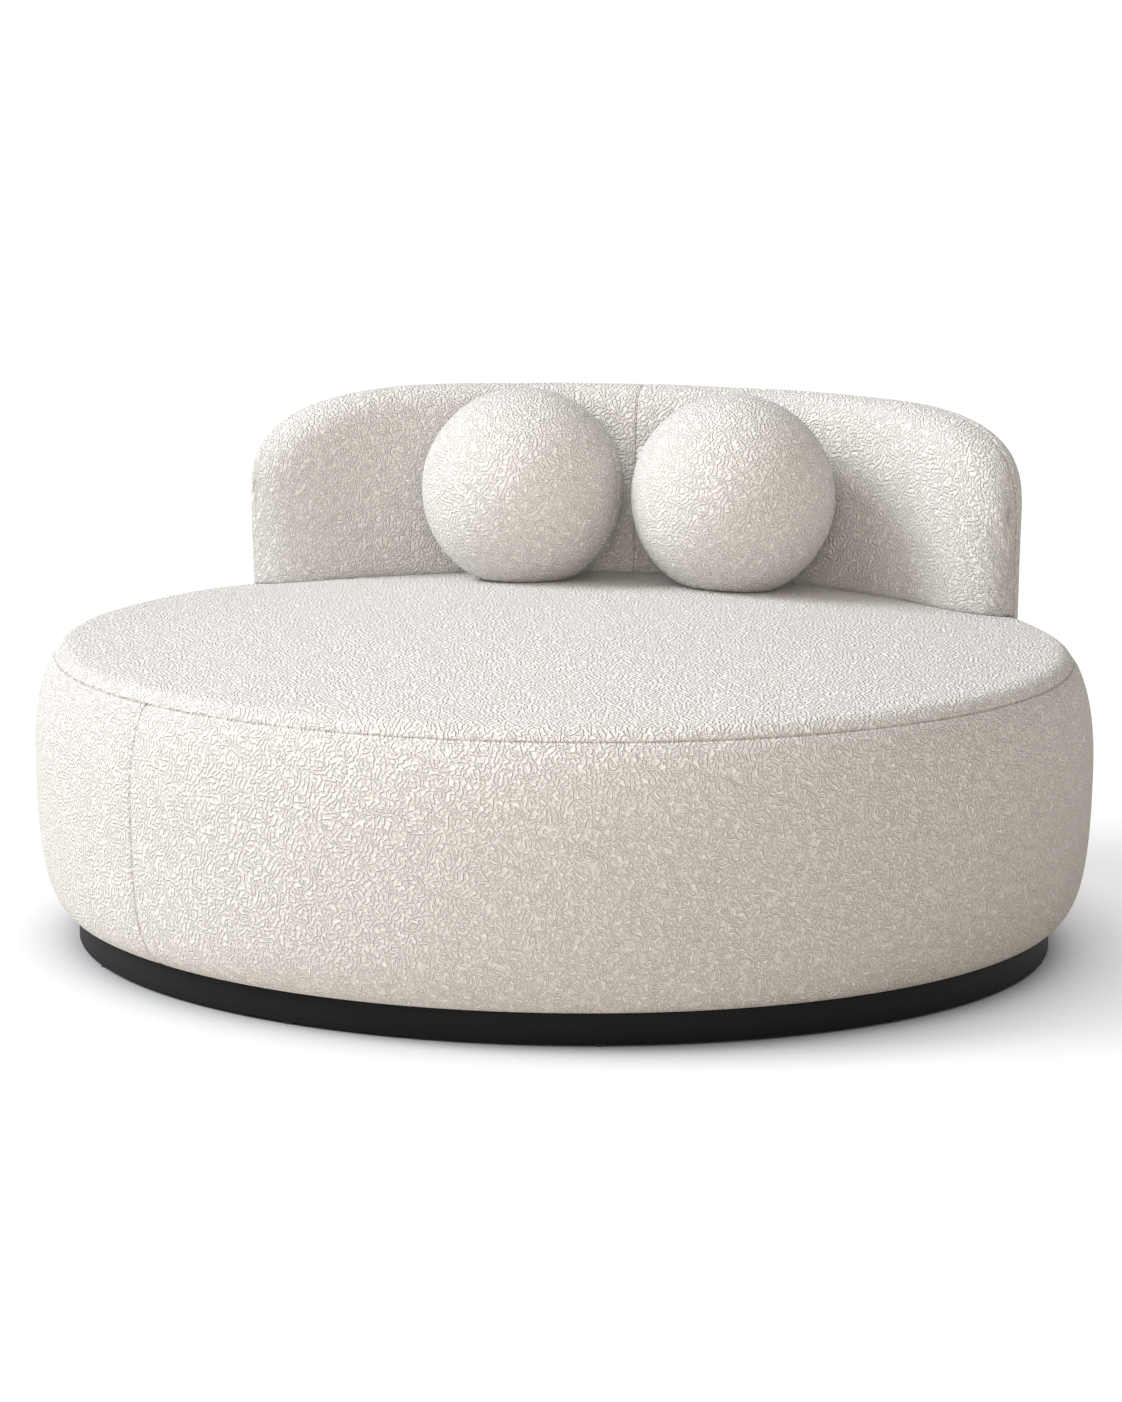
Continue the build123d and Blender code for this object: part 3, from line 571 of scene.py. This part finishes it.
back = bmesh.new()
add_line(back, section, closed=True)
bmesh.ops.spin(
    back, geom=back.verts[:] + back.edges[:], cent=(0, 0, 0), axis=(1, 0, 0),
    dvec=(2 * half_run / back_steps, 0, 0), angle=0.0, steps=back_steps,
)


def station_run(place):
    """How far from its tip a station stands, closer together where the back rounds off."""
    return half_run * (1 - abs(math.sin(math.pi / 2 * max(-1, min(1, place / half_run)))))


def narrowing_at(run):
    nose = max(0, 1 - run / nose_length)
    return math.sqrt(max(0, 1 - nose**corner_power))


section_lengths = [0.0]
for point, following in zip(section, section[1:]):
    section_lengths.append(section_lengths[-1] + (following - point).length)
length_round = {
    (round(point.y, 5), round(point.z, 5)): length for point, length in zip(section, section_lengths)
}
length_along = {0: 0.0}
for step in range(1, back_steps // 2 + 1):
    run = station_run(2 * half_run * step / back_steps)
    last_run = station_run(2 * half_run * (step - 1) / back_steps)
    thinning = back_depth / 2 * (narrowing_at(last_run) - narrowing_at(run))
    length_along[step] = length_along[step - 1] + math.hypot(last_run - run, thinning)
back_cloth = back.loops.layers.uv.new("cloth_laid_flat")
for face in back.faces:
    for loop in face.loops:
        place = loop.vert.co
        step = round(abs(place.x) / half_run * back_steps / 2)
        along_back = math.copysign(length_along[step], place.x)
        loop[back_cloth].uv = (along_back, length_round[round(place.y, 5), round(place.z, 5)])
for corner in back.verts:
    run = station_run(corner.co.x)
    corner.co.x = math.copysign(half_run - run, corner.co.x)
    corner_share = max(0, 1 - run / corner_length)
    narrowing = narrowing_at(run)
    drop = corner_drop * (1 - (1 - min(1, corner_share) ** corner_power) ** (1 / corner_power))
    middle_depth = inner_depth(min(corner.co.z, roll_level)) / 2
    corner.co.y = middle_depth + (corner.co.y - middle_depth) * narrowing
    corner.co.z -= drop * min(1, (corner.co.z - back_low) / (roll_level - back_low))
bmesh.ops.remove_doubles(back, verts=back.verts, dist=0.00002)
bmesh.ops.recalc_face_normals(back, faces=back.faces)

along = Vector((1, 0, 0))
into = Vector((0, 1, 0))
back_hem = 0.004
press_seam(
    back, Vector((0, back_seam_depth, 0)), into,
    lambda place: abs(place.y - back_seam_depth) < 0.02 and place.z > back_low + back_hem,
    lambda place: place.y - back_seam_depth,
)
press_seam(
    back, Vector((-middle_seam_left, 0, 0)), along,
    lambda place: (
        abs(place.x + middle_seam_left) < seam_side_band
        and place.y > back_seam_depth - 0.001
        and place.z > back_low + back_hem
    ),
    lambda place: place.x + middle_seam_left,
)
for corner in back.verts:
    turn = math.pi / 2 - corner.co.x / half_run * back_tip
    depth = corner.co.y
    corner.co.x = (seat_reach - depth) * math.cos(turn)
    corner.co.y = (seat_reach * seat_squeeze - depth) * math.sin(turn)
bmesh.ops.recalc_face_normals(back, faces=back.faces)
soften(back, lambda place: place.z > shoulder_height + 0.02, 0.0014, 0.14)
contact_gap = 0.0006
for corner in back.verts:
    level = seat_level(corner.co.x, corner.co.y, back_low)
    corner.co.z = max(corner.co.z, level + contact_gap)
back_piece = new_piece("back_upholstery", back, cream_boucle, "daybed")
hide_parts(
    "back_cover_inner_left", "back_cover_inner_right", "back_cover_outer",
    "back_front_foam", "back_rear_foam", "back_top_foam",
)


# Ball pillows. Two loose balls of the same cloth, filled firm, that lie in the curve of the back and
# flatten a little where they press on the seat.

def make_ball(side, seam_turn, seam_tip):
    """A ball of two cups of cloth, joined by one seam that runs round it nearly out of sight."""
    low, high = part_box(side + "_pillow_cover")
    radius = (high.x - low.x) / 2
    centre = Vector(((low.x + high.x) / 2, (low.y + high.y) / 2, high.z - radius))
    seam_side = Vector((
        math.cos(seam_turn) * math.cos(seam_tip),
        math.sin(seam_turn) * math.cos(seam_tip),
        math.sin(seam_tip),
    ))
    ball = bmesh.new()
    ball_meridians, ball_rings = 80, 56
    bmesh.ops.create_uvsphere(ball, u_segments=ball_meridians, v_segments=ball_rings, radius=radius)
    turned = Vector((0, 0, 1)).rotation_difference(seam_side)
    bmesh.ops.rotate(ball, cent=(0, 0, 0), matrix=turned.to_matrix(), verts=ball.verts)
    cloth = ball.loops.layers.uv.new("cloth_laid_flat")
    back_to_pole = turned.inverted()
    cup_gap = 2.0
    for face in ball.faces:
        cup = 1 if face.calc_center_median().dot(seam_side) > 0 else -1
        for loop in face.loops:
            place = back_to_pole @ loop.vert.co
            turn = math.acos(max(-1, min(1, cup * place.z / radius)))
            away = Vector((place.x, place.y)).normalized() * radius * turn
            loop[cloth].uv = (away.x + cup * cup_gap, away.y)
    press_seam(
        ball, Vector((0, 0, 0)), seam_side,
        lambda place: abs(place.dot(seam_side)) < seam_side_band,
        lambda place: place.dot(seam_side),
    )
    bmesh.ops.translate(ball, vec=centre, verts=ball.verts)
    soften(ball, lambda place: True, 0.0012, 0.10)
    bulge_height = 0.05
    bulge_share = 0.012
    for corner in ball.verts:
        level = seat_level(corner.co.x, corner.co.y, low.z) + contact_gap
        near = max(0, 1 - (corner.co.z - level) / bulge_height)
        swell = 1 + bulge_share * near**2
        corner.co.x = centre.x + (corner.co.x - centre.x) * swell
        corner.co.y = centre.y + (corner.co.y - centre.y) * swell
        corner.co.z = max(corner.co.z, level)
    piece = new_piece(side + "_ball_pillow", ball, cream_boucle, side + "_pillow")
    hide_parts(side + "_pillow_cover", side + "_pillow_filling")
    return piece


left_ball = make_ball("left", math.radians(-95), math.radians(10))
right_ball = make_ball("right", math.radians(-72), math.radians(14))
for padded_piece in (seat_piece, back_piece, left_ball, right_ball):
    rounder = padded_piece.modifiers.new("rounder", "SUBSURF")
    rounder.levels = 1
    rounder.render_levels = 1


# Inner frame. Birch plywood board, ribs, rim, posts, rails and panels, elastic webbing laced over
# and under, and zinc-plated bolts. All of it is closed in by the foam and the cover.

plywood = wood_material(
    "birch_plywood", (0.74, 0.58, 0.40), (0.56, 0.40, 0.25), 0.6, across=40.0, along=14.0
)
rib_names = [f"seat_rib_{number:02d}" for number in range(1, 16)]
post_names = [f"back_post_{number}" for number in range(1, 7)]
finish_nodes(
    plywood, "plywood", "seat_base_board", "seat_side_skin", "seat_deck_rim", *rib_names, *post_names,
    "back_low_rail", "back_high_rail", "back_front_panel", "back_rear_panel",
)

webbing_cloth, webbing_tree, webbing_shader = new_material("woven_webbing", 0.85)
webbing_place = object_place(webbing_tree)
weave_bands = []
for weave_way in ("X", "Y"):
    weave = add_node(
        webbing_tree, "ShaderNodeTexWave", bands_direction=weave_way, scale=90.0, distortion=0.6
    )
    webbing_tree.links.new(webbing_place, weave.inputs["Vector"])
    weave_bands.append(weave.outputs["Fac"])
webbing_colour = math_node(webbing_tree, "MULTIPLY", *weave_bands)
webbing_tint = add_node(webbing_tree, "ShaderNodeValToRGB")
webbing_tint.color_ramp.elements[0].color = (0.22, 0.18, 0.12, 1)
webbing_tint.color_ramp.elements[1].color = (0.42, 0.36, 0.27, 1)
webbing_bump = add_node(webbing_tree, "ShaderNodeBump", strength=0.6, distance=0.0006)
webbing_tree.links.new(webbing_colour, webbing_tint.inputs["Fac"])
webbing_tree.links.new(webbing_colour, webbing_bump.inputs["Height"])
webbing_tree.links.new(webbing_tint.outputs["Color"], webbing_shader.inputs["Base Color"])
webbing_tree.links.new(webbing_bump.outputs["Normal"], webbing_shader.inputs["Normal"])
finish_nodes(webbing_cloth, "webbing_fabric", "webbing_lengthwise", "webbing_crosswise")

zinc, zinc_tree, zinc_shader = new_material("zinc_plated_steel", 0.35)
zinc_shader.inputs["Base Color"].default_value = (0.62, 0.63, 0.64, 1)
zinc_shader.inputs["Metallic"].default_value = 1.0
zinc_spangle = add_node(zinc_tree, "ShaderNodeTexVoronoi", scale=400.0)
zinc_roughness = add_node(zinc_tree, "ShaderNodeMapRange")
zinc_roughness.inputs["To Min"].default_value = 0.28
zinc_roughness.inputs["To Max"].default_value = 0.45
zinc_tree.links.new(object_place(zinc_tree), zinc_spangle.inputs["Vector"])
zinc_tree.links.new(zinc_spangle.outputs["Distance"], zinc_roughness.inputs["Value"])
zinc_tree.links.new(zinc_roughness.outputs["Result"], zinc_shader.inputs["Roughness"])
finish_nodes(zinc, "zinc_steel", "back_bolts")


# Studio. A plain white floor in pale air, a broad sun from the left, a soft disc lamp over the left
# front, a wide dim lamp on the back and balls, and a camera at the photograph's place, a little right
# of the middle and looking slightly down. The floor is white to the eye and keeps the shadow.

floor = bmesh.new()
floor_reach = 150
bmesh.ops.create_grid(floor, x_segments=1, y_segments=1, size=floor_reach)
floor_mesh = bpy.data.meshes.new("studio_floor")
floor.to_mesh(floor_mesh)
floor.free()
floor_piece = bpy.data.objects.new("studio_floor", floor_mesh)
bpy.context.scene.collection.objects.link(floor_piece)


def seen_ray(tree, ray):
    """1 where a place is seen, also in gloss or through glass, and 0 where it only gives light."""
    glossy, through = ray.outputs["Is Glossy Ray"], ray.outputs["Is Transmission Ray"]
    mirrored = math_node(tree, "MAXIMUM", glossy, through)
    return math_node(tree, "MAXIMUM", ray.outputs["Is Camera Ray"], mirrored)


floor_white, floor_tree, floor_shader = new_material("floor_white", 0.9)
floor_shader.inputs["Specular IOR Level"].default_value = 0.0
floor_ray = floor_tree.nodes.new("ShaderNodeLightPath")
floor_seen = seen_ray(floor_tree, floor_ray)
# The floor's glow grows with its openness, so it fades close under and beside the object: painted shade
# on the floor around it, on top of the cast shadow the floor keeps.
floor_openness = add_node(floor_tree, "ShaderNodeAmbientOcclusion", samples=16, distance=0.45)
floor_glow = 0.59
glow_with_painted_shade = math_node(floor_tree, "MULTIPLY_ADD", floor_openness.outputs["AO"], 1.2, -0.31)
glow_with_painted_shade = math_node(floor_tree, "MAXIMUM", glow_with_painted_shade, 0.0)
glow_with_painted_shade = math_node(floor_tree, "MINIMUM", glow_with_painted_shade, floor_glow)
floor_lift = math_node(floor_tree, "MULTIPLY", floor_seen, glow_with_painted_shade)
floor_tree.links.new(floor_lift, floor_shader.inputs["Emission Strength"])
floor_colour = floor_tree.nodes.new("ShaderNodeMix")
floor_colour.data_type = "RGBA"
floor_colour.inputs[6].default_value = (0.84, 0.785, 0.725, 1)
floor_colour.inputs[7].default_value = (0.452, 0.46, 0.474, 1)
floor_tree.links.new(floor_seen, floor_colour.inputs["Factor"])
floor_tree.links.new(floor_colour.outputs[2], floor_shader.inputs["Base Color"])
floor_shader.inputs["Emission Color"].default_value = (1, 1, 1, 1)
floor_mesh.materials.append(floor_white)

world = bpy.data.worlds.new("studio_air")
bpy.context.scene.world = world
world.use_nodes = True
world_tree = world.node_tree
air = world_tree.nodes["Background"]
air_ray = world_tree.nodes.new("ShaderNodeLightPath")
air_seen = seen_ray(world_tree, air_ray)
air_light = 0.47
air_strength = math_node(world_tree, "MULTIPLY_ADD", air_seen, 1 - air_light, air_light)
air_colour = world_tree.nodes.new("ShaderNodeMix")
air_colour.data_type = "RGBA"
air_colour.inputs[6].default_value = (1.0, 0.945, 0.87, 1)
air_colour.inputs[7].default_value = (1, 1, 1, 1)
world_tree.links.new(air_seen, air_colour.inputs["Factor"])
world_tree.links.new(air_colour.outputs[2], air.inputs["Color"])
world_tree.links.new(air_strength, air.inputs["Strength"])


def add_lamp(name, kind, energy, colour, place, aim, **shape):
    """A lamp at a place, turned to what it lights. A sun shines from its place's direction."""
    data = bpy.data.lights.new(name, kind)
    data.energy = energy
    data.color = colour
    for setting, value in shape.items():
        setattr(data, setting, value)
    lamp = bpy.data.objects.new(name, data)
    lamp.location = place
    lamp.rotation_mode = "QUATERNION"
    lamp.rotation_quaternion = (Vector(place) - Vector(aim)).to_track_quat("Z", "Y")
    bpy.context.scene.collection.objects.link(lamp)


add_lamp(
    "key_left", "SUN", 2.92, (0.92, 0.965, 1.0), (-0.752, -0.208, 0.625), (0, 0, 0),
    angle=math.radians(30),
)
add_lamp(
    "softbox_left_front", "AREA", 10.0, (1.0, 0.985, 0.965), (-0.9, -1.2, 1.9), (-0.1, 0.35, 0.55),
    shape="DISK", size=1.6,
)
add_lamp(
    "back_fill", "SPOT", 155.0, (1.0, 0.90, 0.78), (0.75, -2.9, 1.15), (-0.08, 0.4, 0.80),
    spot_size=math.radians(34), spot_blend=1.0, shadow_soft_size=0.6,
)

camera_data = bpy.data.cameras.new("camera")
camera_data.lens = 113.63
camera_data.sensor_width = 36.0
camera = bpy.data.objects.new("camera", camera_data)
camera.location = (1.6258, -5.9274, 1.5029)
camera.rotation_euler = (math.radians(90 - 10.75), 0, math.radians(15.34))
bpy.context.scene.collection.objects.link(camera)
bpy.context.scene.camera = camera
bpy.context.scene.view_settings.view_transform = "Standard"
